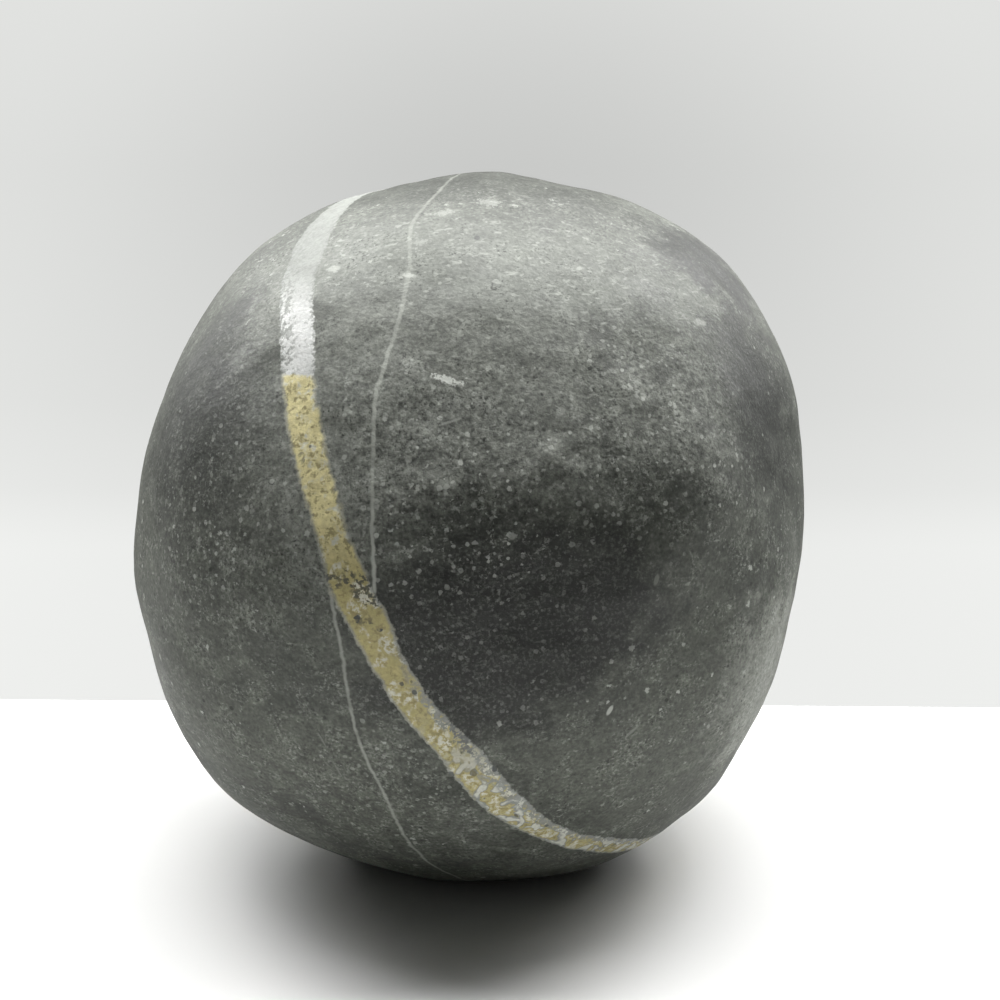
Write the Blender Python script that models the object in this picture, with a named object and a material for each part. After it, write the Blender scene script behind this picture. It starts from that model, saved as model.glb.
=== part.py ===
"""Shaligram stone: one river-worn nodule of black limestone, lying on its own flat seat.

The stone is a rounded box whose radius is worked out in every direction from its middle:
a superellipsoid, raised or worn down by broad swells and blunt ridges, planed by soft
flats, gently uneven all over, and cut level underneath where it rests.
Metres, +Z up. The origin is on the seat, under the middle of the stone.
-Y is the face that carries the broad vein, +X is to its right.
"""

import math

import bmesh
import bpy
import numpy as np

MM = 0.001

# Driving dimensions
HALF_WIDTH = 45.1 * MM  # along X
HALF_DEPTH = 43.4 * MM  # along Y
HALF_HEIGHT = 46.8 * MM  # along Z, before the seat is cut
SQUARENESS = 2.16  # exponent of the superellipsoid: 2 is an ellipsoid, higher is boxier
SEAT_DROP = 45.2 * MM  # from the middle of the stone down to the seat
SEAT_ROUNDING = 1.2 * MM  # how far the seat's rim is eased

# Grid of the surface: a cube's faces blown out to the stone
GRID_CELLS = 26  # along each edge of the cube

# Broad swells and worn hollows: bearing and elevation of the middle, height, spread.
# A bearing of 0 is the front (-Y), 90 the right (+X). A negative height is a hollow.
SWELLS = {
    "right_shoulder": (79, 46, 2.4 * MM, 24),
    "shoulder_crest": (79, 56, 0.6 * MM, 10),
    "crown_dip": (74, 74, -0.4 * MM, 9),
    "right_waist": (76, -18, -0.4 * MM, 16),
    "right_heel": (72, -50, 1.1 * MM, 20),
    "left_brow": (-78, 34, -1.4 * MM, 22),
    "left_belly": (-77, -4, 0.3 * MM, 20),
    "left_heel": (-72, -38, 0.9 * MM, 18),
    "left_underside": (-62, -60, -0.6 * MM, 14),
    "crown": (0, 84, 1.1 * MM, 22),
    "chin": (0, -66, 0.5 * MM, 18),
    "back_shoulder": (160, 40, 1.4 * MM, 24),
    "back_hollow": (-140, 12, -1.3 * MM, 20),
    "back_heel": (-165, -38, 1.2 * MM, 22),
}

# Blunt ridges and one shallow trough: the bearing and elevation of each end of the line
# they follow, their height and their spread
RIDGES = {
    "right_shoulder_ridge": ((54, 44), (38, 20), 0.65 * MM, 8),
    "right_lower_ridge": ((57, -2), (48, -24), 0.6 * MM, 8),
    "left_ridge": ((-48, 22), (-47, -14), 0.5 * MM, 8),
    "brow": ((-26, 5), (32, 9), 2.3 * MM, 14),
    "right_trough": ((62, 34), (62, 20), -0.5 * MM, 9),
}

# Soft flats planed by the river: bearing and elevation of the normal, distance of the
# plane from the middle of the stone, and how widely its edge is rounded.
FLATS = {
    "front_face": (4, -5, 44.5 * MM, 3.0 * MM),
    "back_face": (172, 4, 42.4 * MM, 3.5 * MM),
}

# Gentle unevenness: waves across the stone in every direction
WAVE_SEED = 7
WAVE_SETS = (
    # wavelength, height of one wave, number of waves
    (34 * MM, 0.10 * MM, 10),
    (15 * MM, 0.035 * MM, 16),
)

STONE_COLOUR = (0.08, 0.082, 0.077, 1.0)  # slate-black limestone, linear
STONE_ROUGHNESS = 0.5


def clear_scene():
    for old in list(bpy.data.objects):
        bpy.data.objects.remove(old, do_unlink=True)


def bearing_vector(bearing, elevation):
    """Unit vector of a bearing round from the front (-Y) and an elevation, in degrees."""
    b = math.radians(bearing)
    e = math.radians(elevation)
    return np.array([math.sin(b) * math.cos(e), -math.cos(b) * math.cos(e), math.sin(e)])


def soft_minimum(a, b, rounding):
    """The smaller of a and b, with the corner between them eased over the rounding."""
    closeness = np.maximum(rounding - np.abs(a - b), 0.0) / rounding
    return np.minimum(a, b) - closeness**3 * rounding / 6


def rounded_box_radius(directions):
    share = np.abs(directions) / (HALF_WIDTH, HALF_DEPTH, HALF_HEIGHT)
    return (share**SQUARENESS).sum(axis=1) ** (-1 / SQUARENESS)


def angle_between(directions, others):
    """Angle in degrees from each direction to the matching one of the others."""
    return np.degrees(np.arccos(np.clip((directions * others).sum(axis=1), -1, 1)))


def swell_height(directions):
    total = np.zeros(len(directions))
    for bearing, elevation, height, spread in SWELLS.values():
        apart = angle_between(directions, bearing_vector(bearing, elevation))
        total += height * np.exp(-((apart / spread) ** 2))
    return total


def ridge_height(directions):
    total = np.zeros(len(directions))
    for start, end, height, spread in RIDGES.values():
        first = bearing_vector(*start)
        line = bearing_vector(*end) - first
        along = np.clip((directions - first) @ line / (line @ line), 0, 1)
        nearest = first + along[:, None] * line
        nearest /= np.linalg.norm(nearest, axis=1)[:, None]
        total += height * np.exp(-((angle_between(directions, nearest) / spread) ** 2))
    return total


def plane_radius(directions, normal, distance):
    """Distance along each direction to a plane, or very far where it faces away."""
    facing = directions @ normal
    return np.where(facing > 0.05, distance / np.maximum(facing, 0.05), 1.0)


def wave_height(points):
    draw = np.random.RandomState(WAVE_SEED)
    total = np.zeros(len(points))
    for wavelength, height, count in WAVE_SETS:
        heading = draw.normal(size=(count, 3))
        heading /= np.linalg.norm(heading, axis=1)[:, None]
        phase = draw.uniform(0, 2 * math.pi, count)
        swing = points @ heading.T * (2 * math.pi / wavelength) + phase
        total += height * np.sin(swing).sum(axis=1)
    return total


def stone_radius(directions):
    """Radius of the stone, from its middle, along each unit direction."""
    radius = rounded_box_radius(directions) + swell_height(directions)
    radius += ridge_height(directions)
    for bearing, elevation, distance, rounding in FLATS.values():
        normal = bearing_vector(bearing, elevation)
        radius = soft_minimum(radius, plane_radius(directions, normal, distance), rounding)
    radius += wave_height(directions * radius[:, None])
    seat = plane_radius(directions, np.array([0.0, 0.0, -1.0]), SEAT_DROP)
    return soft_minimum(radius, seat, SEAT_ROUNDING)


def cube_grid():
    """A cube of side 2 whose faces are cut into an even grid of squares."""
    grid = bmesh.new()
    bmesh.ops.create_cube(grid, size=2)
    bmesh.ops.subdivide_edges(
        grid, edges=grid.edges, cuts=GRID_CELLS - 1, use_grid_fill=True
    )
    return grid


def blown_out(points):
    """Directions of the cube's points, spaced by equal angles along each edge."""
    eased = np.tan(points * math.pi / 4)
    return eased / np.linalg.norm(eased, axis=1)[:, None]


def make_stone():
    grid = cube_grid()
    cube_points = np.array([vertex.co for vertex in grid.verts])
    directions = blown_out(cube_points)
    surface = directions * stone_radius(directions)[:, None]
    middle = (surface.min(axis=0) + surface.max(axis=0)) / 2
    surface -= (middle[0], middle[1], -SEAT_DROP)
    for vertex, place in zip(grid.verts, surface):
        vertex.co = place
    bmesh.ops.recalc_face_normals(grid, faces=grid.faces)
    mesh = bpy.data.meshes.new("stone")
    grid.to_mesh(mesh)
    grid.free()
    mesh.shade_smooth()
    stone = bpy.data.objects.new("stone", mesh)
    bpy.context.scene.collection.objects.link(stone)
    return stone


def limestone_material():
    material = bpy.data.materials.new("black_limestone")
    material.use_nodes = True
    shader = material.node_tree.nodes["Principled BSDF"]
    shader.inputs["Base Color"].default_value = STONE_COLOUR
    shader.inputs["Roughness"].default_value = STONE_ROUGHNESS
    shader.inputs["Metallic"].default_value = 0.0
    return material


def main():
    clear_scene()
    stone = make_stone()
    stone.data.materials.append(limestone_material())


main()
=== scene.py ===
import math

import bpy
import numpy as np
from mathutils import Matrix, Vector


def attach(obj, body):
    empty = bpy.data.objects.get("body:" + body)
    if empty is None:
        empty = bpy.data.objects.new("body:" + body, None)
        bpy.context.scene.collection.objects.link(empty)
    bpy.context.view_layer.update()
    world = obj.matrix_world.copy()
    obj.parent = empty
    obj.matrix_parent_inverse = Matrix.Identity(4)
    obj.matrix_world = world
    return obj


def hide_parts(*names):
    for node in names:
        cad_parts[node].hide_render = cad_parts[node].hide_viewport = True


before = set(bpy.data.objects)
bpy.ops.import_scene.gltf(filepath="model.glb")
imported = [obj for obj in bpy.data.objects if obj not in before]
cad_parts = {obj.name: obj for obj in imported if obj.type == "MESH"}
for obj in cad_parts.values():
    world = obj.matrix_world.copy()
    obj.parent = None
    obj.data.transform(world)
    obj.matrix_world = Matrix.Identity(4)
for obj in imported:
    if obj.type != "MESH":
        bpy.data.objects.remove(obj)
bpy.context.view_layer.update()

mm = 0.001


def linearColour(hexText):
    # an sRGB hex turned to linear values, with full opacity
    values = [int(hexText[i:i + 2], 16) / 255 for i in (0, 2, 4)]
    line = [v / 12.92 if v <= 0.04045 else ((v + 0.055) / 1.055) ** 2.4 for v in values]
    return (*line, 1.0)


def addNode(tree, kind, settings=None, links=None):
    # one node: settings go to its sockets or properties, links come into its sockets
    node = tree.nodes.new("ShaderNode" + kind)
    for key, value in (settings or {}).items():
        if isinstance(key, int) or key in node.inputs:
            node.inputs[key].default_value = value
        else:
            setattr(node, key, value)
    for key, source in (links or {}).items():
        tree.links.new(source, node.inputs[key])
    return node


def aimed(place, target):
    # a matrix at place, its -Z looking at target
    away = Vector(place) - Vector(target)
    turn = away.to_track_quat("Z", "Y")
    return Matrix.Translation(Vector(place)) @ turn.to_matrix().to_4x4()


# The stone's form, in millimetres and degrees, as in the solid: a rounded box in every
# direction from its middle, with swells, hollows, ridges and flats. Bearing 0 is the front
# (-Y), 90 the right (+X).
form = {
    "halfSize": (45.1, 43.4, 46.8),
    "squareness": 2.16,
    "seatDrop": 45.2,
    "seatRounding": 1.2,
    "swells": (  # bearing, elevation, height, spread
        (79, 46, 2.4, 24),
        (79, 56, 0.6, 10),
        (74, 74, -0.4, 9),
        (76, -18, -0.4, 16),
        (72, -50, 1.1, 20),
        (-78, 34, -1.4, 22),
        (-77, -4, 0.3, 20),
        (-72, -38, 0.9, 18),
        (-62, -60, -0.6, 14),
        (0, 84, 1.1, 22),
        (0, -66, 0.5, 18),
        (160, 40, 1.4, 24),
        (-140, 12, -1.3, 20),
        (-165, -38, 1.2, 22),
    ),
    "ridges": (  # bearing and elevation of each end, height, spread
        (54, 44, 38, 20, 0.65, 8),
        (57, -2, 48, -24, 0.6, 8),
        (-48, 22, -47, -14, 0.5, 8),
        (-26, 5, 32, 9, 2.3, 14),
        (62, 34, 62, 20, -0.5, 9),
    ),
    "flats": (  # bearing, elevation, distance, rounding
        (4, -5, 44.5, 3.0),
        (172, 4, 42.4, 3.5),
    ),
    "waveSeed": 7,
    "waves": (  # wavelength, height of one wave, number of waves
        (34, 0.10, 10),
        (15, 0.035, 16),
    ),
    "gridCells": 128,  # along each edge of the cube that is blown out to the stone
}


def bearingVector(bearing, elevation):
    b, e = math.radians(bearing), math.radians(elevation)
    return np.array([math.sin(b) * math.cos(e), -math.cos(b) * math.cos(e), math.sin(e)])


def softMinimum(a, b, rounding):
    # the smaller of a and b, the corner between them eased over the rounding
    closeness = np.maximum(rounding - np.abs(a - b), 0) / rounding
    return np.minimum(a, b) - closeness**3 * rounding / 6


def planeRadius(directions, normal, distance):
    # how far away along each direction a plane is met: its distance over the cosine of the
    # angle to its normal, and out of reach for directions that hardly face it
    facing = directions @ normal
    least, outOfReach = 0.05, 1000.0
    return np.where(facing > least, distance / np.maximum(facing, least), outOfReach)


def eased(values, start, end):
    # 0 before start, 1 after end, and a smooth S between them
    share = np.clip((values - start) / (end - start), 0, 1)
    return share * share * (3 - 2 * share)


def angleBetween(directions, others):
    # degrees between unit directions: the arc cosine of their dot product
    return np.degrees(np.arccos(np.clip((directions * others).sum(axis=1), -1, 1)))


def ridgeBump(directions, start, end, spread):
    # a bell of the angle from the line between two directions
    a, b = bearingVector(*start), bearingVector(*end)
    along = np.clip((directions - a) @ (b - a) / ((b - a) @ (b - a)), 0, 1)
    nearest = a + along[:, None] * (b - a)
    nearest /= np.linalg.norm(nearest, axis=1)[:, None]
    return np.exp(-((angleBetween(directions, nearest) / spread) ** 2))


def waveHeight(points):
    # sine waves across the stone, in headings and phases drawn from the seed
    draw = np.random.RandomState(form["waveSeed"])
    total = np.zeros(len(points))
    for wavelength, height, count in form["waves"]:
        heading = draw.normal(size=(count, 3))
        heading /= np.linalg.norm(heading, axis=1)[:, None]
        phase = draw.uniform(0, 2 * math.pi, count)
        total += height * np.sin(points @ heading.T * (2 * math.pi / wavelength) + phase).sum(axis=1)
    return total


def stoneRadius(directions):
    # the radius in millimetres along each direction, before the seat is cut
    share = np.abs(directions) / form["halfSize"]
    radius = (share ** form["squareness"]).sum(axis=1) ** (-1 / form["squareness"])
    for bearing, elevation, height, spread in form["swells"]:
        apart = angleBetween(directions, bearingVector(bearing, elevation))
        radius += height * np.exp(-((apart / spread) ** 2))
    for *ends, height, spread in form["ridges"]:
        radius += height * ridgeBump(directions, ends[:2], ends[2:], spread)
    for bearing, elevation, distance, rounding in form["flats"]:
        flat = planeRadius(directions, bearingVector(bearing, elevation), distance)
        radius = softMinimum(radius, flat, rounding)
    return radius + waveHeight(directions * radius[:, None])


# The vein sheets that cross the stone, measured from its middle: each is a plane by its
# normal and distance, and shows where it meets the skin
band = {
    "normal": (0.811, -0.413, 0.414),
    "distance": 8.92,
    "profile": (  # height from the middle, half of the band's width there, how far it bends
        (-46, 1.3, 0.9), (-35, 1.7, 0.85), (-31, 1.75, 0.0), (-27, 2.1, -0.4), (-19, 2.15, 0.15),
        (-13, 2.0, -0.75), (-7, 1.95, -0.8), (-3, 2.1, -0.3), (1, 2.25, -0.1), (5, 1.85, 0.4),
        (10, 1.93, 0.42), (16, 2.05, 0.2), (24, 2.1, 0.28), (28, 2.22, 0.42), (33, 2.35, -0.05),
        (39, 2.5, -0.5), (46, 1.6, 0.1),
    ),
    "whiteFrom": 23.5,  # above this height the filling is white calcite, below it ochre
    "proud": 0.05,  # the harder filling stands this far above the worn stone
}
hairlines = {
    "rightHairline": {
        "normal": (0.9734, -0.2285, 0.0157),
        "distance": 0.78,
        "profile": (
            (-40, 0.18, 0.2), (0, 0.2, 0.2), (8, 0.2, 0.14), (13, 0.2, -0.2), (16, 0.22, -0.35),
            (19, 0.22, -0.6), (22, 0.24, -0.6), (24, 0.24, -0.2), (27, 0.24, 0.28), (31, 0.26, 0.75),
            (36, 0.26, 0.5), (38, 0.26, -0.1), (41, 0.24, -0.85), (44, 0.2, -0.05), (46, 0.2, 0.4),
        ),
        "side": 1,  # the side of the band that it shows on
        "strength": 1.0,  # how much of its pale colour shows
    },
    "leftHairline": {
        "normal": (0.8584, -0.5128, 0.0092),
        "distance": 10.19,
        "profile": (
            (-42, 0.15, 0.3), (-36, 0.17, -0.29), (-31, 0.18, 0.0), (-25.5, 0.18, 0.56),
            (-20, 0.18, -0.19), (-12, 0.18, -0.15), (-5, 0.18, 0.15), (0, 0.2, 0.0), (46, 0.18, 0.3),
        ),
        "side": -1,
        "strength": 0.52,
    },
}
hairlineFade = (22, 37, 0.3)  # over the crown, between these heights, they fade to this share

# The worn skin: lumps, chatter and percussion dents, in millimetres
skin = {
    "lumps": (8.0, 0.19, 11),  # size, height, seed
    "chatter": (2.7, 0.055, 12),
    "grain": (1.3, 0.02, 13),
    "roughMiddle": (4, 18),  # bearing and elevation of the patch where it is coarsest
    "roughSpread": 26,
    "roughGain": 3.0,
    "roughClusters": (6.0, 3),  # size and seed of the clusters in that patch
    "dentSeed": 5,
    "dentCount": 700,
    "dentRadius": (0.7, 2.6),
    "dentDepth": (0.02, 0.11),
    "seatFade": 1.6,  # the skin turns smooth over this height above the seat
}


def latticeNoise(points, cell, seed):
    # random values on a cubic lattice, eased between its corners, from -1 to 1; it is
    # shifted by part of a cell, so that no corner is at the stone's middle
    side, shift = 64, 0.37
    table = np.random.RandomState(seed).uniform(-1, 1, (side, side, side))
    spot = points / cell + shift
    base = np.floor(spot).astype(int)
    share = spot - base
    share = share * share * (3 - 2 * share)
    total = np.zeros(len(points))
    for corner in np.ndindex(2, 2, 2):
        weight = np.where(corner, share, 1 - share).prod(axis=1)
        i, j, k = ((base + corner) % side).T
        total += weight * table[i, j, k]
    return total


def dentDepth(directions, radius):
    # round percussion marks: each is deepest in its middle and eases out as (1 - r^2)^2
    draw = np.random.RandomState(skin["dentSeed"])
    middles = draw.normal(size=(skin["dentCount"], 3))
    middles /= np.linalg.norm(middles, axis=1)[:, None]
    sizes = draw.uniform(0, 1, skin["dentCount"]) ** 2
    depth = np.zeros(len(directions))
    for middle, size in zip(middles, sizes):
        reach = np.interp(size, (0, 1), skin["dentRadius"])
        apart = radius * np.sqrt(np.maximum(2 - 2 * (directions @ middle), 0)) / reach
        hollow = np.interp(size, (0, 1), skin["dentDepth"]) * np.maximum(1 - apart**2, 0) ** 2
        depth = np.maximum(depth, hollow)
    return depth


def skinHeight(directions, radius):
    # lumps and chatter added up, coarser in one patch, less the dents, plus the band
    points = directions * radius[:, None]
    apart = angleBetween(directions, bearingVector(*skin["roughMiddle"]))
    patch = np.exp(-((apart / skin["roughSpread"]) ** 2))
    clusterSize, clusterSeed = skin["roughClusters"]
    clusters = eased(latticeNoise(points, clusterSize, clusterSeed), -0.5, 0.4)
    gain = 1 + skin["roughGain"] * patch * clusters
    height = np.zeros(len(points))
    for name in ("lumps", "chatter", "grain"):
        cell, tall, seed = skin[name]
        height += tall * latticeNoise(points, cell, seed) * (1 if name == "lumps" else gain)
    height -= dentDepth(directions, radius)
    levels, widths, bends = np.array(band["profile"]).T
    across = points @ band["normal"] - band["distance"] - np.interp(points[:, 2], levels, bends)
    inside = np.interp(points[:, 2], levels, widths) - np.abs(across)
    height += band["proud"] * eased(inside, -0.4, 0.4)
    return height


def cubeGrid(cells):
    # directions over the six faces of a cube, evenly by angle, and the quads between them
    angle = np.linspace(-1, 1, cells + 1) * math.pi / 4
    u, v = np.meshgrid(np.tan(angle), np.tan(angle), indexing="ij")
    one = np.ones_like(u)
    sides = [(one, u, v), (-one, v, u), (v, one, u), (u, -one, v), (u, v, one), (v, u, -one)]
    points = np.concatenate([np.stack(side, axis=-1).reshape(-1, 3) for side in sides])
    row = cells + 1
    corner = (np.arange(cells)[:, None] * row + np.arange(cells)).ravel()
    quad = np.stack([corner, corner + row, corner + row + 1, corner + 1], axis=1)
    quads = np.concatenate([quad + side * row * row for side in range(6)])
    keys = np.round(points * 1e6).astype(np.int64)
    _, first, index = np.unique(keys, axis=0, return_index=True, return_inverse=True)
    points = points[first]
    directions = points / np.linalg.norm(points, axis=1)[:, None]
    return directions, index.reshape(-1)[quads]


def makeStone():
    # the form and its skin in every direction of the grid, then set on the seat
    directions, quads = cubeGrid(form["gridCells"])
    radius = stoneRadius(directions)
    above = directions[:, 2] * radius + form["seatDrop"]
    radius += skinHeight(directions, radius) * eased(above, 0, skin["seatFade"])
    seat = planeRadius(directions, np.array([0.0, 0.0, -1.0]), form["seatDrop"])
    radius = softMinimum(radius, seat, form["seatRounding"])
    points = directions * radius[:, None]
    middle = (points.min(axis=0) + points.max(axis=0)) / 2
    shift = np.array([-middle[0], -middle[1], form["seatDrop"]])
    points = (points + shift) * mm
    mesh = bpy.data.meshes.new("stone_surface")
    mesh.from_pydata(points.tolist(), [], quads.tolist())
    mesh.shade_smooth()
    piece = bpy.data.objects.new("stone_surface", mesh)
    bpy.context.scene.collection.objects.link(piece)
    return piece, shift


stonePiece, stoneShift = makeStone()
print("stone:", len(stonePiece.data.polygons), "faces, middle at", stoneShift.round(2))


# The stone's material. Every pattern is measured in millimetres from the stone's middle.
noises = {  # size of one feature, stretch in x, y, z, detail, roughness, distortion
    "cloud": (26, (1, 1, 1), 3, 0.55, 0.4),
    "patch": (7.5, (1, 1, 1.3), 3, 0.6, 0.6),
    "cluster": (3.4, (1, 1, 1.2), 2, 0.6, 0.8),
    "mottle": (1.1, (0.85, 1, 1.1), 3, 0.7, 0.3),
    "border": (4.5, (1, 1, 1.2), 4, 0.65, 0.3),
    "crinkle": (1.5, (0.85, 1, 1.2), 2, 0.6, 1.0),
    "grain": (0.4, (1, 1, 1), 2, 0.7, 0.0),
    "fleck": (1.3, (0.7, 1, 1.3), 1, 0.5, 0.5),
    "scuff": (0.85, (0.65, 0.9, 1.5), 2, 0.6, 0.4),
    "sinter": (0.65, (1, 1, 1), 3, 0.65, 0.2),
    "sinterPatch": (1.8, (1, 1, 0.8), 2, 0.55, 0.5),
}
noiseRange = {"From Min": 0.3, "From Max": 0.7}  # most of a noise's values lie between these
borderShake = 22.0  # mm, how far a patch's border is shaken from its outermost to its innermost
emptyShare, speckShake, faintest = 0.35, 0.45, 0.3  # of the cells, of a cell, of full strength
limestone = {
    "base": "53564E",
    "cloudColour": "3B3E38",  # darker clouds of clay
    "patchColour": "666961",
    "paintedLightPatchColour": "878A82",  # painted light: a paler tone on the front below the crown, and on the back
    "paintedLightPatches": (  # middle, reach and strength of each patch of painted light
        ((-10, -40, 18), 15, 1),
        ((4, -39, 22), 14, 0.85),
        ((23, -33, 20), 11, 0.7),
        ((-22, -29, 30), 5, 0.9),
        ((37, -26, -13), 9, 0.9),
        ((36, -21, -22), 6, 0.8),
        ((1, -34, -30), 7, 0.35),
        ((0, 36, 22), 26, 1),
    ),
    "topLightColour": "83867F",  # painted light: the crown made paler, as the top catches the light from above
    "topLightFrom": 30.5,  # height where the painted light begins
    "topLightSlope": 0.05,  # it reaches lower to the right
    "topLightShake": 9.0,  # mm, how far its lower border is shaken
    "topLightBorder": (-2.5, 3.5),  # mm, its lower border fades over this height
    "topLightThins": (-29, -12, 0.3),  # towards the back, between these depths, down to this share
    # painted shade on the dark faces; the same colour also serves the dark pits and grains
    "wornColour": "1B1D18",
    "worn": (  # middle, reach and strength of each dark face: painted shade in its colour, and a smoother worn finish
        ((1, -43, -4), 13, 1),
        ((12, -42, -1), 11, 1),
        ((11, -41, -10), 10, 0.3),
        ((-32, -30, 18), 14, 0.62),
        ((-29, -23, 28), 6, 0.5),
        ((35, -25, 20), 11, 0.78),
        ((29, -15, 36), 10, 0.85),
        ((21, -22, 37), 9, 0.5),
        ((4, -8, 46), 20, 0.58),
        ((14, 42, -4), 20, 0.9),
    ),
    "scuffColour": "B2B5AD",
    "speckColour": "B0B3AB",
    "chipColour": "CDD0C8",
    "dustGrainColour": "8E918A",
    "creaseColour": "7F827B",
    "specks": {  # mm from one to the next, and the largest one's share of that
        "fine": (1.0, 0.2),
        "bright": (2.1, 0.19),
        "pits": (1.3, 0.26),
        "chips": (0.75, 0.5),
    },
    "calmTones": {"grain": 0.25, "mottle": 0.22, "crinkle": 0.1, "cluster": 0.12, "patch": 0.08},
    "busyTones": {"grain": 0.4, "mottle": 0.5, "crinkle": 0.15, "cluster": 0.25, "patch": 0.08},
    "coarse": (  # middle, reach and strength of each coarser face
        ((-1, -42, 12), 14, 1),
        ((2, -43, -2), 13, 0.45),
        ((20, -37, 18), 12, 0.7),
        ((-26, -34, 8), 12, 0.5),
        ((-8, -34, -24), 12, 0.4),
        ((0, 38, 6), 24, 0.6),
    ),
    "crystalSize": 0.34,  # mm across one crystal; real ones are finer, so drawn to show
    "roughness": 0.7,
    "wornRoughness": 0.58,
    "refraction": 1.5,
    "relief": {"grain": 0.035, "crinkle": 0.05, "cluster": 0.08},  # mm, too fine for the mesh
}
# The vein's filling: calcite that crystallised in a crack, white above and stained to ochre by
# iron below. The eye gets a dull, crumbly fill, paler than the stone, with holes and clots.
calcite = {
    "white": "E2E3E0",
    "whiteShade": "868983",
    # painted light: the upper ochre is made paler than the lower, where the face below the brow turns from
    # the light
    "ochre": "E0D6A0",
    "ochreLow": "AFA571",  # further down, darker, without the painted light
    "ochreShade": "8C8159",
    "ochrePale": "D2D3C8",
    "hole": "3F4345",
    "fringe": "8B8E8A",
    "hairline": "B4B7AE",
    "holeSpacing": (1.25, 1.25, 1.6),
    "ochreLightFades": (8, 1),  # the painted light on the ochre gives way between these heights
    "clotted": (-12, -26),  # and clotted between these
    "brokenRight": (-4, -14),  # its right edge turns to fringe between these
    "dullTop": (28, 36, 0.92),  # the white is duller above, up to this share
    "dullFoot": (28, 24, 0.25),  # and just above the ochre
    "gaps": (  # middle, reach and strength of each place where the filling has fallen out
        ((-10.8, -44, 1.2), 2.2, 0.8),
        ((0.5, -42, -16), 2, 0.5),
    ),
}
marks = {  # middle, half lengths in x, y, z, tilt in degrees, how broken, strength, colour
    "bigScuff": ((-1.6, -39.1, 23.3), (1.8, 2, 0.42), 14, 3, 0.95, "E4E7DF"),
    "upperStreak": ((-3.5, -37.4, 26.2), (1.0, 2, 0.22), 3, 1, 0.5, "B9BCB4"),
    "scuffBelow": ((-1.2, -41.0, 18.9), (1.6, 2, 0.16), -18, 1, 0.5, "A5A8A0"),
    "paleOval": ((10.8, -39.8, 19.9), (0.65, 2, 0.5), -25, 0.6, 0.7, "A5A8A0"),
    "whiteTick": ((16.6, -39.5, -14.0), (0.3, 2, 0.75), 28, 0.3, 0.85, "B7BAB2"),
    "leftSpot": ((-15.2, -26.5, 35.4), (1.0, 2, 0.42), -10, 1.5, 0.5, "C9CCC4"),
    "hairlineKnot": ((-6.2, -30.6, 34.6), (0.8, 2, 0.28), 6, 1.5, 0.7, "D0D3CB"),
    "hairlineKnotAbove": ((-5.0, -26.7, 38.4), (1.1, 2, 0.4), -8, 3, 0.35, "C0C3BB"),
    "smallPit": ((1.5, -26.2, 38.9), (0.4, 1, 0.35), 0, 0.5, 0.7, "4A4C4A"),
    "dashUpper": ((-16.2, -38.1, -18.0), (0.14, 2, 1.1), -24, 1, 0.4, "8F928A"),
    "dashLower": ((-14.6, -36.6, -22.1), (0.14, 2, 1.3), -24, 1, 0.4, "8F928A"),
    "triangle": ((5.5, -44.4, 6.9), (0.5, 2, 0.42), 10, 0.6, 0.8, "8A8D86"),
    "tallOval": ((21.5, -40.6, 1.3), (0.32, 2, 0.75), 15, 0.6, 0.6, "85887F"),
    "dotAboveBand": ((-5.7, -42.5, 15.0), (0.45, 2, 0.4), 0, 1, 0.7, "A9ACA3"),
    "lowStreak": ((19.4, -37.3, -17.2), (1.3, 2, 0.2), -42, 1, 0.5, "8E918A"),
    # painted highlights: pale streaks along the lit top of the ridge across the front
    "crestHighlight": ((3.6, -43.4, 13.7), (2.3, 2, 0.3), 10, 3, 0.6, "8C8F87"),
    "crestHighlightLeft": ((-2.3, -43.3, 13.6), (2.4, 2, 0.3), -12, 3, 0.5, "888B83"),
    "shoulderChip": ((27.6, -26.9, 29.2), (1.0, 2, 0.4), 18, 3, 0.45, "B4B7AF"),
    "crownScuff": ((2.9, -19.3, 43.3), (1.6, 2, 0.5), 8, 4, 0.3, "C9CCC4"),
    "crownScuffLeft": ((-2.5, -21.7, 42.0), (1.3, 2, 0.4), -6, 4, 0.3, "C4C7BF"),
}


def layered(tree, base, layers):
    # one colour laid over another through each mask in turn; the base is a hex or a socket
    for mask, hexText in layers:
        over = {"data_type": "RGBA", 7: linearColour(hexText)}
        under = {6: base}
        if isinstance(base, str):
            over[6] = linearColour(base)
            under = {}
        base = addNode(tree, "Mix", over, {0: mask, **under}).outputs[2]
    return base


def faded(tree, value, start, end, strength=1.0):
    # 0 before start and strength after end, with an S between; start may be the larger
    ends = {"interpolation_type": "SMOOTHSTEP", "From Min": start, "From Max": end, "To Max": strength}
    return addNode(tree, "MapRange", ends, {"Value": value}).outputs["Result"]


def joinMasks(tree, *values):
    # masks multiplied together, so that the result shows only where every one does
    total = values[0]
    for value in values[1:]:
        total = addNode(tree, "Math", {"operation": "MULTIPLY"}, {0: total, 1: value}).outputs[0]
    return total


def scaledPlace(tree, place, sizes):
    # the place counted in features of these sizes along x, y and z
    scale = tuple(1 / size for size in sizes)
    return addNode(tree, "VectorMath", {"operation": "MULTIPLY", 1: scale}, {0: place}).outputs[0]


def makeNoises(tree, place):
    # one noise node for each entry, read by every part of the material
    found = {}
    for name, (size, stretch, detail, rough, twist) in noises.items():
        counted = scaledPlace(tree, place, [size / share for share in stretch])
        settings = {"Scale": 1.0, "Detail": detail, "Roughness": rough, "Distortion": twist}
        found[name] = addNode(tree, "TexNoise", settings, {"Vector": counted})
    return found


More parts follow.
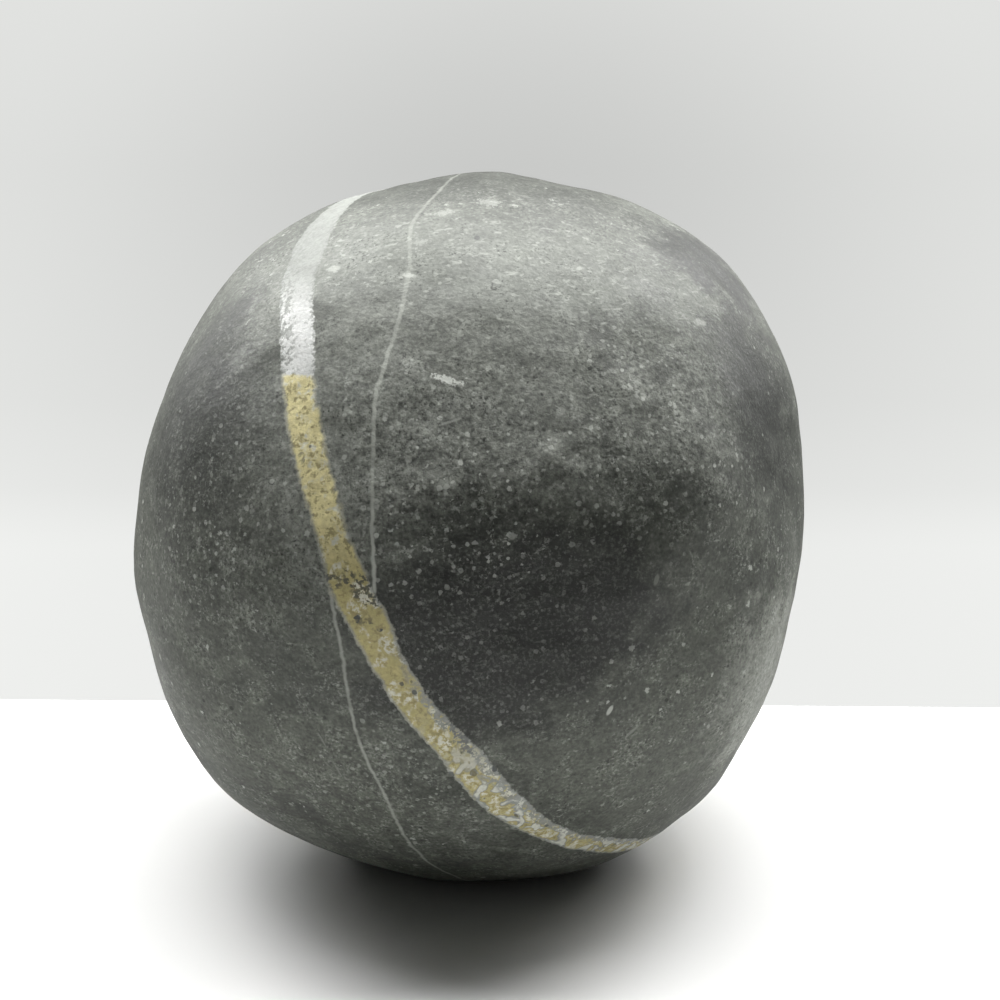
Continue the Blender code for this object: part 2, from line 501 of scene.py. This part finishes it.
def patchMask(tree, patches, place, shake):
    # round patches in space with shaken borders, joined where they meet: each fades between
    # 1.65 and 0.35 of its reach, and the noise moves that border by up to its shake
    joined = None
    for middle, reach, strength in patches:
        apart = addNode(tree, "VectorMath", {"operation": "DISTANCE", 1: middle}, {0: place})
        moved = {"operation": "MULTIPLY_ADD", 1: borderShake}
        shaken = addNode(tree, "Math", moved, {0: shake, 2: apart.outputs["Value"]}).outputs[0]
        outer, inner = (borderShake / 2 + reach * share for share in (1.65, 0.35))
        one = faded(tree, shaken, outer, inner, strength)
        if joined is not None:
            one = addNode(tree, "Math", {"operation": "MAXIMUM"}, {0: joined, 1: one}).outputs[0]
        joined = one
    return joined


def speckMask(tree, place, spacing, largest, shake):
    # specks of many sizes, one at most in each cell, some bright and some faint; a third of
    # the cells stay empty, and the shake makes the outlines uneven
    counted = scaledPlace(tree, place, spacing)
    cells = addNode(tree, "TexVoronoi", {"Scale": 1.0}, {"Vector": counted})
    chance = addNode(tree, "SeparateColor", {}, {"Color": cells.outputs["Color"]}).outputs
    sizes = {"From Min": emptyShare, "To Min": 0.0, "To Max": largest}
    size = addNode(tree, "MapRange", sizes, {"Value": chance[0]}).outputs[0]
    inside = addNode(tree, "Math", {"operation": "SUBTRACT"}, {0: size, 1: cells.outputs["Distance"]})
    shaken = {"operation": "MULTIPLY_ADD", 1: speckShake}
    uneven = addNode(tree, "Math", shaken, {0: shake, 2: inside.outputs[0]}).outputs[0]
    bright = addNode(tree, "MapRange", {"To Min": faintest, "To Max": 1.0}, {"Value": chance[1]}).outputs[0]
    return joinMasks(tree, faded(tree, uneven, 0.22, 0.3), bright)


def toned(tree, colour, noise, tones):
    # the colour made darker and paler by each noise in turn, by its own share
    for name, share in tones.items():
        ends = {**noiseRange, "To Min": 1 - share, "To Max": 1 + share}
        tone = addNode(tree, "MapRange", ends, {"Value": noise[name].outputs["Fac"]}).outputs[0]
        colour = addNode(tree, "VectorMath", {"operation": "SCALE"}, {0: colour, "Scale": tone}).outputs[0]
    return colour


def paintedTopLightMask(tree, place, height, patch, worn):
    # the painted light on the top begins at a height that the patches shake and that falls to the right; it
    #     # thins out towards the back and where the painted shade lies
    lean = {"operation": "DOT_PRODUCT", 1: (limestone["topLightSlope"], 0, 0)}
    lean = addNode(tree, "VectorMath", lean, {0: place}).outputs["Value"]
    shaken = {"operation": "MULTIPLY_ADD", 1: limestone["topLightShake"]}
    shaken = addNode(tree, "Math", shaken, {0: patch, 2: height}).outputs[0]
    shaken = addNode(tree, "Math", {"operation": "ADD"}, {0: shaken, 1: lean}).outputs[0]
    start = limestone["topLightFrom"] + limestone["topLightShake"] / 2
    below, above = limestone["topLightBorder"]
    depth = addNode(tree, "SeparateXYZ", {}, {0: place}).outputs["Y"]
    near, far, least = limestone["topLightThins"]
    thinner = {"From Min": near, "From Max": far, "To Min": 1.0, "To Max": least}
    thinner = addNode(tree, "MapRange", thinner, {"Value": depth}).outputs[0]
    paintedTopLight = joinMasks(tree, faded(tree, shaken, start + below, start + above), thinner)
    return joinMasks(tree, paintedTopLight, faded(tree, worn, 1.2, 0.0))


def limestoneColour(tree, place, height, noise, worn):
    # clouds and patches, painted light on the upper faces and below the crown, painted shade on the dark
    # faces, all
    #     # broken by the grain; over it scuffs on the crown, creases, dusty clusters and specks
    cloud, patch, cluster, crinkle, mottle, grain, scuff, clump, border = (
        noise[name].outputs["Fac"] for name in (
            "cloud", "patch", "cluster", "crinkle", "mottle", "grain", "scuff", "sinter", "border"))
    # painted light: the top made paler where the light falls from above
    paintedTopLight = paintedTopLightMask(tree, place, height, patch, worn)
    # painted light below the crown and on the back, kept off the painted shade
    paintedLightPatches = faded(tree, patchMask(tree, limestone["paintedLightPatches"], place, border), 0, 1, 0.85)
    rock = layered(tree, limestone["base"], (
        (faded(tree, cloud, 0.44, 0.62, 0.6), limestone["cloudColour"]),
        (faded(tree, patch, 0.46, 0.68, 0.55), limestone["patchColour"]),
        # painted shade on the dark faces
        (faded(tree, worn, 0, 1, 0.96), limestone["wornColour"]),
        # the painted light below the crown
        (joinMasks(tree, paintedLightPatches, faded(tree, worn, 1.2, 0.1)), limestone["paintedLightPatchColour"]),
        # painted light on the top
        (faded(tree, paintedTopLight, 0, 1, 0.9), limestone["topLightColour"]),
    ))
    # each crystal is a little darker or paler than the next
    counted = scaledPlace(tree, place, (limestone["crystalSize"],) * 3)
    crystals = addNode(tree, "TexVoronoi", {"Scale": 1.0}, {"Vector": counted})
    chance = addNode(tree, "SeparateColor", {}, {"Color": crystals.outputs["Color"]}).outputs[0]
    tone = addNode(tree, "MapRange", {"To Min": 0.8, "To Max": 1.2}, {"Value": chance}).outputs[0]
    rock = addNode(tree, "VectorMath", {"operation": "SCALE"}, {0: rock, "Scale": tone}).outputs[0]
    coarser = patchMask(tree, limestone["coarse"], place, border)
    calm = toned(tree, rock, noise, limestone["calmTones"])
    busy = toned(tree, rock, noise, limestone["busyTones"])
    busy = addNode(tree, "VectorMath", {"operation": "SCALE", "Scale": 0.95}, {0: busy}).outputs[0]
    rock = addNode(tree, "Mix", {"data_type": "RGBA"}, {0: coarser, 6: calm, 7: busy}).outputs[2]
    # masks that keep the pale grains away from the faces with painted shade, wholly or in part
    unworn = faded(tree, worn, 1.0, 0.0)
    partlyClearOfShadeAndWear = faded(tree, worn, 1.8, 0.2)
    grouped = joinMasks(tree, faded(tree, cluster, 0.45, 0.62), unworn)
    crease = addNode(tree, "Math", {"operation": "SUBTRACT", 1: 0.5}, {0: crinkle}).outputs[0]
    crease = addNode(tree, "Math", {"operation": "ABSOLUTE"}, {0: crease}).outputs[0]
    fine, coarse, pits, chips = (
        speckMask(tree, place, (spacing,) * 3, largest, grain)
        for spacing, largest in limestone["specks"].values())
    clumps = joinMasks(tree, faded(tree, cluster, 0.38, 0.52), faded(tree, clump, 0.56, 0.66, 0.65))
    chips = joinMasks(tree, chips, faded(tree, mottle, 0.38, 0.52))
    return layered(tree, rock, (
        # more painted light on the top, over the grain
        (faded(tree, paintedTopLight, 0, 1, 0.35), limestone["topLightColour"]),
        (joinMasks(tree, grouped, faded(tree, grain, 0.54, 0.68, 0.7)), limestone["dustGrainColour"]),
        (joinMasks(tree, grouped, faded(tree, grain, 0.44, 0.32, 0.7)), limestone["wornColour"]),
        (joinMasks(tree, grouped, faded(tree, crease, 0.022, 0.004, 0.3)), limestone["creaseColour"]),
        (joinMasks(tree, paintedTopLight, faded(tree, scuff, 0.58, 0.68, 0.6)), limestone["scuffColour"]),
        (joinMasks(tree, grouped, faded(tree, scuff, 0.63, 0.72, 0.5)), limestone["scuffColour"]),
        (joinMasks(tree, pits, faded(tree, paintedTopLight, 1.0, 0.0, 0.8)), limestone["wornColour"]),
        (joinMasks(tree, fine, faded(tree, worn, 1.4, 0.0, 0.9)), limestone["dustGrainColour"]),
        (joinMasks(tree, coarse, faded(tree, worn, 1.6, 0.0)), limestone["speckColour"]),
        (joinMasks(tree, worn, faded(tree, grain, 0.5, 0.66, 0.2)), limestone["creaseColour"]),
        (joinMasks(tree, coarser, unworn, faded(tree, clump, 0.44, 0.36, 0.55)), limestone["wornColour"]),
        (joinMasks(tree, coarser, partlyClearOfShadeAndWear, clumps), limestone["scuffColour"]),
        (joinMasks(tree, chips, coarser, partlyClearOfShadeAndWear), limestone["chipColour"]),
    ))


def sheetInside(tree, sheet, place, height, drift):
    # how far each point is inside a vein sheet, and how far from its middle plane: the
    # sheet's half width and bend follow the height, both packed into one ramp's red and
    # green, and the drift shakes it sideways
    low, high = sheet["profile"][0][0], sheet["profile"][-1][0]
    share = addNode(tree, "MapRange", {"From Min": low, "From Max": high}, {"Value": height}).outputs[0]
    ramp = addNode(tree, "ValToRGB", {}, {"Fac": share})
    ramp.color_ramp.interpolation = "CARDINAL"
    stops = ramp.color_ramp.elements
    stops.remove(stops[1])
    for level, half, bend in sheet["profile"]:
        element = stops[0] if level == low else stops.new((level - low) / (high - low))
        element.color = (half / 3, bend / 3 + 0.5, 0, 1)
    parts = addNode(tree, "SeparateColor", {}, {"Color": ramp.outputs["Color"]})
    half = addNode(tree, "Math", {"operation": "MULTIPLY", 1: 3.0}, {0: parts.outputs[0]}).outputs[0]
    unpacked = {"operation": "MULTIPLY_ADD", 1: 3.0, 2: -1.5}
    bend = addNode(tree, "Math", unpacked, {0: parts.outputs[1]}).outputs[0]
    along = addNode(tree, "VectorMath", {"operation": "DOT_PRODUCT", 1: sheet["normal"]}, {0: place})
    fromPlane = {"operation": "SUBTRACT", 1: sheet["distance"]}
    across = addNode(tree, "Math", fromPlane, {0: along.outputs["Value"]}).outputs[0]
    bent = addNode(tree, "Math", {"operation": "SUBTRACT"}, {0: across, 1: bend}).outputs[0]
    bent = addNode(tree, "Math", {"operation": "ADD"}, {0: bent, 1: drift}).outputs[0]
    away = addNode(tree, "Math", {"operation": "ABSOLUTE"}, {0: bent}).outputs[0]
    return addNode(tree, "Math", {"operation": "SUBTRACT"}, {0: half, 1: away}).outputs[0], bent


def hairlineMask(tree, line, place, height, bandAcross, noise):
    # a thin sheet, seen only on its own side of the band, paler and fainter along the way
    jitter = addNode(tree, "Math", {"operation": "MULTIPLY_ADD", 1: 0.4, 2: -0.2},
                     {0: noise["fleck"].outputs["Fac"]}).outputs[0]
    inside, _ = sheetInside(tree, line, place, height, jitter)
    side = addNode(tree, "Math", {"operation": "MULTIPLY", 1: line["side"]}, {0: bandAcross}).outputs[0]
    strength = faded(tree, noise["patch"].outputs["Fac"], 0.15, 0.5, line["strength"])
    low, high, least = hairlineFade
    fainter = {"From Min": low, "From Max": high, "To Min": 1.0, "To Max": least}
    fainter = addNode(tree, "MapRange", fainter, {"Value": height}).outputs[0]
    shown = joinMasks(tree, faded(tree, inside, -0.14, 0.14), faded(tree, side, 1.2, 2.0))
    return joinMasks(tree, shown, strength, fainter)


def bandMaskAndColour(tree, place, height, noise):
    # the broad sheet: its edges are frayed, white calcite fills it above and ochre below,
    # with holes, pale clots and a grey fringe that widens on the lower right
    sinter, clot, grain = (noise[name].outputs["Fac"] for name in ("sinter", "sinterPatch", "grain"))
    drift = addNode(tree, "Math", {"operation": "MULTIPLY_ADD", 1: 0.8, 2: -0.4}, {0: clot}).outputs[0]
    inside, across = sheetInside(tree, band, place, height, drift)
    frayed = addNode(tree, "Math", {"operation": "MULTIPLY_ADD", 1: 0.7, 2: -0.33}, {0: sinter}).outputs[0]
    frayed = addNode(tree, "Math", {"operation": "ADD"}, {0: inside, 1: frayed}).outputs[0]
    mask = faded(tree, frayed, -0.12, 0.12)
    lower = faded(tree, height, *calcite["clotted"])
    fringe = faded(tree, frayed, 0.55, 0.1, 0.8)
    rightSide = joinMasks(tree, faded(tree, across, 0.5, 1.0), faded(tree, height, *calcite["brokenRight"]))
    broken = joinMasks(tree, rightSide, faded(tree, sinter, 0.56, 0.5, 0.9))
    holes = speckMask(tree, place, calcite["holeSpacing"], 0.42, sinter)
    level = addNode(tree, "Math", {"operation": "MULTIPLY_ADD", 1: 1.4}, {0: sinter, 2: height}).outputs[0]
    isWhite = faded(tree, level, band["whiteFrom"] + 0.5, band["whiteFrom"] + 0.9)
    pale = joinMasks(tree, faded(tree, clot, 0.5, 0.62, 0.85), faded(tree, sinter, 0.44, 0.56))
    # the upper ochre carries painted light, which fades out further down
    ochre = layered(tree, calcite["ochre"], (
        (faded(tree, height, *calcite["ochreLightFades"]), calcite["ochreLow"]),
        (faded(tree, sinter, 0.48, 0.36, 0.75), calcite["ochreShade"]),
        (pale, calcite["ochrePale"]),
        (joinMasks(tree, lower, faded(tree, clot, 0.5, 0.46)), calcite["fringe"]),
        (joinMasks(tree, lower, faded(tree, clot, 0.46, 0.4, 0.9)), calcite["ochrePale"]),
        (fringe, calcite["fringe"]),
        (broken, calcite["fringe"]),
    ))
    gaps = patchMask(tree, calcite["gaps"], place, noise["border"].outputs["Fac"])
    ochre = layered(tree, ochre, (
        (joinMasks(tree, holes, faded(tree, clot, 0.4, 0.5)), calcite["hole"]),
        (joinMasks(tree, gaps, faded(tree, sinter, 0.52, 0.46)), calcite["hole"]),
    ))
    leftDusk = joinMasks(tree, faded(tree, across, 0.3, -1.0), faded(tree, sinter, 0.52, 0.44, 0.8))
    white = layered(tree, calcite["white"], (
        (faded(tree, height, *calcite["dullFoot"]), calcite["whiteShade"]),
        (faded(tree, height, *calcite["dullTop"]), calcite["whiteShade"]),
        (leftDusk, calcite["whiteShade"]),
        (faded(tree, sinter, 0.42, 0.36, 0.4), calcite["whiteShade"]),
        (joinMasks(tree, holes, faded(tree, across, 0.8, -0.6, 0.8)), calcite["fringe"]),
        (joinMasks(tree, fringe, faded(tree, grain, 0.6, 0.4)), calcite["whiteShade"]),
    ))
    colour = addNode(tree, "Mix", {"data_type": "RGBA"}, {0: isWhite, 6: ochre, 7: white}).outputs[2]
    return across, mask, toned(tree, colour, noise, {"grain": 0.12, "fleck": 0.06})


def markedColour(tree, colour, place, grain, middle, lengths, tilt, broken, strength, hexText):
    # one mark: an ellipsoid in space, turned by its tilt, its edge broken by the grain
    turn = {"vector_type": "TEXTURE", "Location": middle, "Rotation": (0, math.radians(tilt), 0),
            "Scale": lengths}
    local = addNode(tree, "Mapping", turn, {"Vector": place}).outputs[0]
    away = addNode(tree, "VectorMath", {"operation": "LENGTH"}, {0: local}).outputs["Value"]
    torn = addNode(tree, "Math", {"operation": "MULTIPLY_ADD", 1: broken}, {0: grain, 2: away}).outputs[0]
    mask = faded(tree, torn, 1.1 + 0.5 * broken, 0.6 + 0.5 * broken, strength)
    return layered(tree, colour, ((mask, hexText),))


def stoneMaterial():
    # black limestone, tumbled by a river and dried: the eye gets a dark, faintly green grey
    # with a soft satin sheen where it faces the light, broken by a fine pale grain
    material = bpy.data.materials.new("black_limestone")
    material.use_nodes = True
    tree = material.node_tree
    shader = tree.nodes["Principled BSDF"]
    coords = addNode(tree, "TexCoord")
    scaling = {"operation": "MULTIPLY_ADD", 1: (1000, 1000, 1000), 2: tuple(-stoneShift)}
    place = addNode(tree, "VectorMath", scaling, {0: coords.outputs["Object"]}).outputs[0]
    height = addNode(tree, "SeparateXYZ", {}, {0: place}).outputs["Z"]
    noise = makeNoises(tree, place)
    grain = noise["grain"].outputs["Fac"]
    across, bandMask, bandColour = bandMaskAndColour(tree, place, height, noise)
    # the dark faces: painted shade in the colour, and a smoother worn finish in the roughness
    worn = patchMask(tree, limestone["worn"], place, noise["border"].outputs["Fac"])
    colour = limestoneColour(tree, place, height, noise, worn)
    for line in hairlines.values():
        mask = hairlineMask(tree, line, place, height, across, noise)
        colour = layered(tree, colour, ((mask, calcite["hairline"]),))
    for mark in marks.values():
        colour = markedColour(tree, colour, place, grain, *mark)
    colour = addNode(tree, "Mix", {"data_type": "RGBA"}, {0: bandMask, 6: colour, 7: bandColour}).outputs[2]
    tree.links.new(colour, shader.inputs["Base Color"])
    # satin on the worn faces and dry elsewhere, by patches
    rough = limestone["roughness"]
    satin = {**noiseRange, "To Min": rough - 0.06, "To Max": rough + 0.08}
    satin = addNode(tree, "MapRange", satin, {"Value": noise["patch"].outputs["Fac"]}).outputs[0]
    smoother = {"To Min": 1.0, "To Max": limestone["wornRoughness"] / rough}
    smoother = addNode(tree, "MapRange", smoother, {"Value": worn}).outputs[0]
    tree.links.new(joinMasks(tree, satin, smoother), shader.inputs["Roughness"])
    shader.inputs["IOR"].default_value = limestone["refraction"]
    relief = None
    for name, tall in limestone["relief"].items():
        source = noise[name].outputs["Fac"]
        links = {0: source} if relief is None else {0: source, 2: relief}
        relief = addNode(tree, "Math", {"operation": "MULTIPLY_ADD", 1: tall, 2: 0.0}, links).outputs[0]
    bump = addNode(tree, "Bump", {"Distance": mm}, {"Height": relief})
    tree.links.new(bump.outputs["Normal"], shader.inputs["Normal"])
    return material


stonePiece.data.materials.append(stoneMaterial())
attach(stonePiece, "root")
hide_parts("stone")
print("material:", len(stonePiece.data.materials[0].node_tree.nodes), "nodes")

# Stage, light and camera
stage = {
    "sheetFront": -110,  # mm, from the stone's middle
    "sheetBack": 63.9,
    "sheetHalfWidth": 420,
    "sheetTilt": 1.55,  # degrees
    "gap": (0.4, 1.5),  # mm deep, the grey strip of painted shadow behind the sheet, at its left and right end
    "gapDepth": -0.3,  # the strip's height there
    "board": ((0.86, 0.86, 0.85, 1), 0.4),  # colour, roughness
    # the grey strip's colour and roughness: a painted shadow line
    "table": ((0.42, 0.42, 0.41, 1), 0.6),
    "coveFloor": -1,  # just below the sheet
    "coveStart": 250,
    "coveRadius": 350,
    "coveTop": 1400,
    "coveHalfWidth": 2500,
    "coveFront": -2500,
    "paperLean": 0.18,  # a metre back along the floor counts as this many metres up
    "paper": (  # metres up the backdrop, tone of its painted glow there
        (0, "F2F3F1"), (0.04, "F2F3F1"), (0.06, "E9EAE8"), (0.1, "E3E4E2"), (0.18, "E0E1DF"),
        (0.23, "DEDFDD"), (0.3, "E0E1DF"), (0.4, "E3E4E2"),
    ),
    "paintedShadowMiddle": (0.009, 0, 0.192),  # the stone's painted shadow on the backdrop, around this place, in metres
    "paintedShadowReach": 0.28,  # metres
    "paintedShadowShare": 0.21,  # how much darker the painted shadow is in its middle
}
lights = {  # place and target in mm, size in mm, power in watts
    "ceilingPanel": {"place": (0, 45, 560), "target": (0, 45, 0), "size": (300, 150), "power": 2.34},
    "leftHighPanel": {"place": (-210, 60, 520), "target": (0, 0, 30), "size": (180, 160), "power": 1.42},
    "rightHighPanel": {"place": (210, 60, 520), "target": (0, 0, 30), "size": (180, 160), "power": 1.58},
    "leftRearPanel": {"place": (-330, 200, 440), "target": (0, 0, 30), "size": (200, 200), "power": 1.42},
    "rightRearPanel": {"place": (330, 200, 440), "target": (0, 0, 30), "size": (200, 200), "power": 1.54},
    "leftBackPanel": {"place": (-440, 260, 330), "target": (0, 0, 30), "size": (220, 240), "power": 1.12},
    "rightBackPanel": {"place": (440, 260, 330), "target": (0, 0, 30), "size": (220, 240), "power": 1.24},
}
room = {"seen": "DCDFDD", "fill": (0.99, 1, 0.95, 1), "fillStrength": 0.045}
view = {
    "lens": 50,  # mm
    "sensorWidth": 36,
    "place": (4.19, -190.94, 34.06),  # mm, from the stone's middle
    "lookDown": 9,  # degrees
}


def plainMaterial(name, colour, roughness):
    # one even colour and finish, set on the shader itself
    material = bpy.data.materials.new(name)
    material.use_nodes = True
    shader = material.node_tree.nodes["Principled BSDF"]
    shader.inputs["Base Color"].default_value = colour
    shader.inputs["Roughness"].default_value = roughness
    return material


def stagePiece(name, points, quads, material):
    # a mesh from points in millimetres, with its material, linked into the scene
    mesh = bpy.data.meshes.new(name)
    mesh.from_pydata((np.array(points, dtype=float) * mm).tolist(), [], quads)
    mesh.shade_smooth()
    mesh.materials.append(material)
    piece = bpy.data.objects.new(name, mesh)
    bpy.context.scene.collection.objects.link(piece)
    return piece


def makeSheet():
    # a level board whose back edge runs at a slight tilt, and a grey strip behind it. The
    #     # white laminate gives the eye a bright, even ground that takes a soft shadow, and the
    #     # strip a thin dull line of painted shadow along the board's back edge.
    half, front, back = stage["sheetHalfWidth"], stage["sheetFront"], stage["sheetBack"]
    rise = half * math.tan(math.radians(stage["sheetTilt"]))
    corners = [(-half, front, 0), (half, front, 0), (half, back - rise, 0), (-half, back + rise, 0)]
    stagePiece("white_sheet", corners, [(0, 1, 2, 3)], plainMaterial("laminated_board", *stage["board"]))
    # the grey strip: a painted shadow line behind the board
    left, right = stage["gap"]
    low = stage["gapDepth"]
    strip = [(-half, back + rise, low), (half, back - rise, low),
             (half, back - rise + right, low), (-half, back + rise + left, low)]
    stagePiece("sheet_edge_shadow", strip, [(0, 1, 2, 3)], plainMaterial("shadow_strip_grey", *stage["table"]))


def backdropMaterial():
    # uncoated white paper that glows with painted light, unlit by the lamps: the eye gets a flat field
    #     # with no grain, palest at its foot and greyer higher up, and dimmer in a wide round area of
    #     painted shadow
    material = bpy.data.materials.new("uncoated_paper")
    material.use_nodes = True
    tree = material.node_tree
    tree.nodes.clear()
    coords = addNode(tree, "TexCoord")
    upward = {"operation": "DOT_PRODUCT", 1: (0, stage["paperLean"], 1)}
    rise = addNode(tree, "VectorMath", upward, {0: coords.outputs["Object"]})
    # the painted glow: palest at the foot, greyer higher up
    ramp = addNode(tree, "ValToRGB", {}, {"Fac": rise.outputs["Value"]})
    stops = ramp.color_ramp.elements
    stops.remove(stops[1])
    for level, hexText in stage["paper"]:
        element = stops[0] if level == 0 else stops.new(level)
        element.color = linearColour(hexText)
    flat = addNode(tree, "SeparateXYZ", {}, {0: coords.outputs["Object"]})
    spot = addNode(tree, "CombineXYZ", {}, {0: flat.outputs["X"], 2: rise.outputs["Value"]}).outputs[0]
    # the stone's painted shadow on the backdrop
    away = addNode(tree, "VectorMath", {"operation": "DISTANCE", 1: stage["paintedShadowMiddle"]}, {0: spot})
    paintedShadow = {"interpolation_type": "SMOOTHSTEP", "From Max": stage["paintedShadowReach"],
               "To Min": 1 - stage["paintedShadowShare"]}
    strength = addNode(tree, "MapRange", paintedShadow, {"Value": away.outputs["Value"]}).outputs[0]
    glow = addNode(tree, "Emission", {}, {"Color": ramp.outputs["Color"], "Strength": strength})
    addNode(tree, "OutputMaterial", {}, {"Surface": glow.outputs[0]})
    return material


def makeCove():
    # the floor runs back, turns up in a quarter circle and stands as the backdrop
    half, radius, start = stage["coveHalfWidth"], stage["coveRadius"], stage["coveStart"]
    floor = stage["coveFloor"]
    turn = np.linspace(0, math.pi / 2, 25)
    profile = [(stage["coveFront"], floor)]
    profile += [(start + radius * math.sin(t), floor + radius * (1 - math.cos(t))) for t in turn]
    profile += [(start + radius, stage["coveTop"])]
    points = [(x, y, z) for x in (-half, half) for y, z in profile]
    count = len(profile)
    quads = [(i, i + count, i + count + 1, i + 1) for i in range(count - 1)]
    cove = stagePiece("backdrop_paper", points, quads, backdropMaterial())
    cove.visible_diffuse = False
    cove.visible_glossy = False


def addLights():
    # rectangular soft panels, each aimed at its target and unseen by the camera
    for name, light in lights.items():
        data = bpy.data.lights.new(name, "AREA")
        data.shape = "RECTANGLE"
        data.size, data.size_y = (side * mm for side in light["size"])
        data.energy = light["power"]
        lamp = bpy.data.objects.new(name, data)
        lamp.visible_camera = False
        lamp.matrix_world = aimed([c * mm for c in light["place"]], [c * mm for c in light["target"]])
        bpy.context.scene.collection.objects.link(lamp)


def makeWorld():
    # the camera sees the room's even grey, and the stone gets only a faint fill from it
    world = bpy.data.worlds.new("room")
    bpy.context.scene.world = world
    world.use_nodes = True
    tree = world.node_tree
    tree.nodes.clear()
    path = addNode(tree, "LightPath")
    seen = addNode(tree, "Background", {"Color": linearColour(room["seen"]), "Strength": 1.0})
    lit = addNode(tree, "Background", {"Color": room["fill"], "Strength": room["fillStrength"]})
    mix = addNode(tree, "MixShader")
    tree.links.new(path.outputs["Is Camera Ray"], mix.inputs[0])
    tree.links.new(lit.outputs[0], mix.inputs[1])
    tree.links.new(seen.outputs[0], mix.inputs[2])
    out = addNode(tree, "OutputWorld")
    tree.links.new(mix.outputs[0], out.inputs["Surface"])


def makeCamera():
    # a close view from the front, looking down by a few degrees
    data = bpy.data.cameras.new("camera")
    data.lens = view["lens"]
    data.sensor_width = view["sensorWidth"]
    camera = bpy.data.objects.new("camera", data)
    camera.location = (Vector(view["place"]) + Vector(stoneShift)) * mm
    camera.rotation_euler = (math.radians(90 - view["lookDown"]), 0, 0)
    bpy.context.scene.collection.objects.link(camera)
    bpy.context.scene.camera = camera


makeSheet()
makeCove()
print("stage: white sheet, the gap behind it and backdrop")
addLights()
makeWorld()
print("lights:", len(lights), "panels and the room")
makeCamera()
print("camera:", view["lens"], "mm, looking down by", view["lookDown"], "degrees")
bpy.context.scene.view_settings.view_transform = "Standard"
